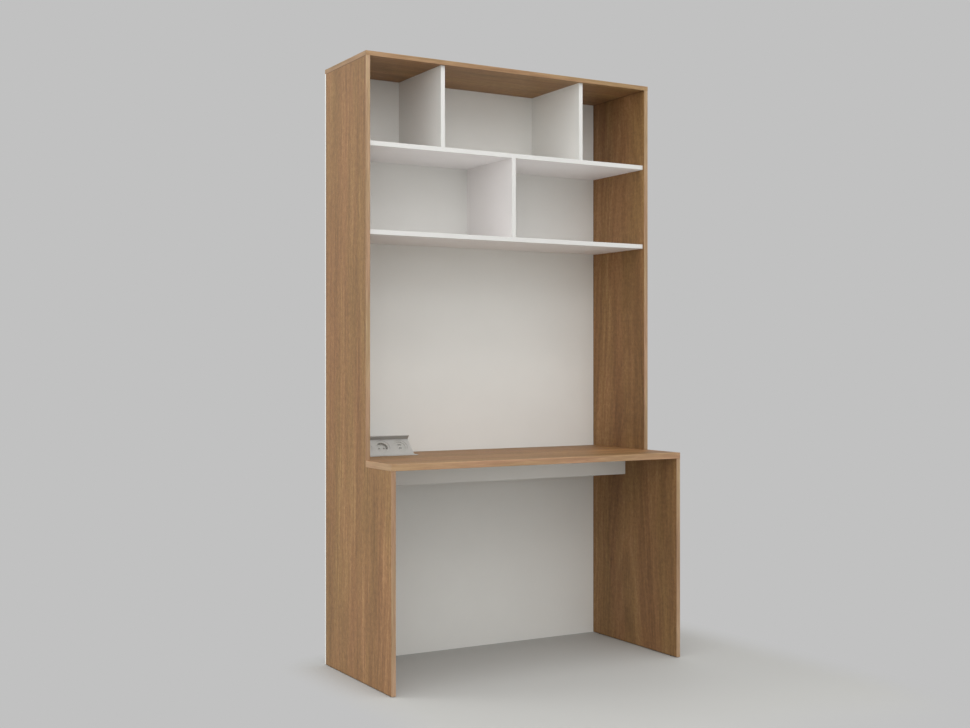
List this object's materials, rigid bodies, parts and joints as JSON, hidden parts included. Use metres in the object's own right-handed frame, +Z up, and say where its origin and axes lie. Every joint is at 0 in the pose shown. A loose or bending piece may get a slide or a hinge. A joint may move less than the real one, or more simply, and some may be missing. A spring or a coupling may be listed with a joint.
{
  "type": "student desk with hutch",
  "caption": "Tall desk in wood decor and white: L-shaped sides, worktop with a flip-up power unit, apron, back panel, and shelves with dividers under a top panel.",
  "frame": {"origin": "on the floor, at the middle of the width and depth of the desk's bounding box", "axes": "+X to the right as one sits at the desk, +Y towards the back panel, +Z up"},
  "size_m": [1.172, 0.542, 2.125],
  "materials": {
    "wood_decor_board": "melamine-faced board with a mid-brown oak decor",
    "wood_decor_band": "edge band with the same oak decor, a little lighter",
    "white_board": "melamine-faced board, white, slightly textured",
    "white_band": "white edge band",
    "tongue_plywood": "raw birch plywood",
    "grey_plastic": "grey moulded plastic with a fine texture",
    "glide_plastic": "hard black plastic",
    "black_plastic": "black plastic",
    "socket_plastic": "grey moulded plastic, satin",
    "zinc_steel": "zinc-plated sheet steel",
    "pin_steel": "bright steel",
    "clip_brass": "nickel-plated brass",
    "port_steel": "nickel-plated steel"
  },
  "bodies": {
    "desk": {"left_side_panel": "wood_decor_board", "right_side_panel": "wood_decor_board", "top_panel": "wood_decor_board", "worktop": "wood_decor_board", "left_side_edge_bands": "wood_decor_band", "right_side_edge_bands": "wood_decor_band", "top_panel_edge_bands": "wood_decor_band", "worktop_edge_bands": "wood_decor_band", "back_panel": "white_board", "upper_shelf": "white_board", "lower_shelf": "white_board", "left_divider": "white_board", "right_divider": "white_board", "centre_divider": "white_board", "apron_rail": "white_board", "shelf_edge_bands": "white_band", "divider_edge_bands": "white_band", "apron_edge_band": "white_band", "shelf_tongues": "tongue_plywood", "divider_tongues": "tongue_plywood", "top_panel_tongues": "tongue_plywood", "worktop_tongues": "tongue_plywood", "apron_tongues": "tongue_plywood", "floor_glides": "glide_plastic", "power_box": "grey_plastic", "power_box_cover": "grey_plastic", "clamp_brackets": "zinc_steel", "cord_gland": "black_plastic", "flap_hinge_pins": "pin_steel"},
    "socket_flap": {"flap_shell": "grey_plastic", "flap_cover": "grey_plastic", "left_socket": "socket_plastic", "middle_socket": "socket_plastic", "earth_clips": "clip_brass", "charger_insert": "socket_plastic", "charger_port_shells": "port_steel", "charger_port_tongues": "black_plastic"}
  },
  "joints": [
    {"name": "socket_flap_hinge", "type": "hinge", "parent": "desk", "child": "socket_flap", "pos_m": [-0.418, 0.2185, 0.727], "axis": [1, 0, 0], "range_deg": [0, 45]}
  ]
}
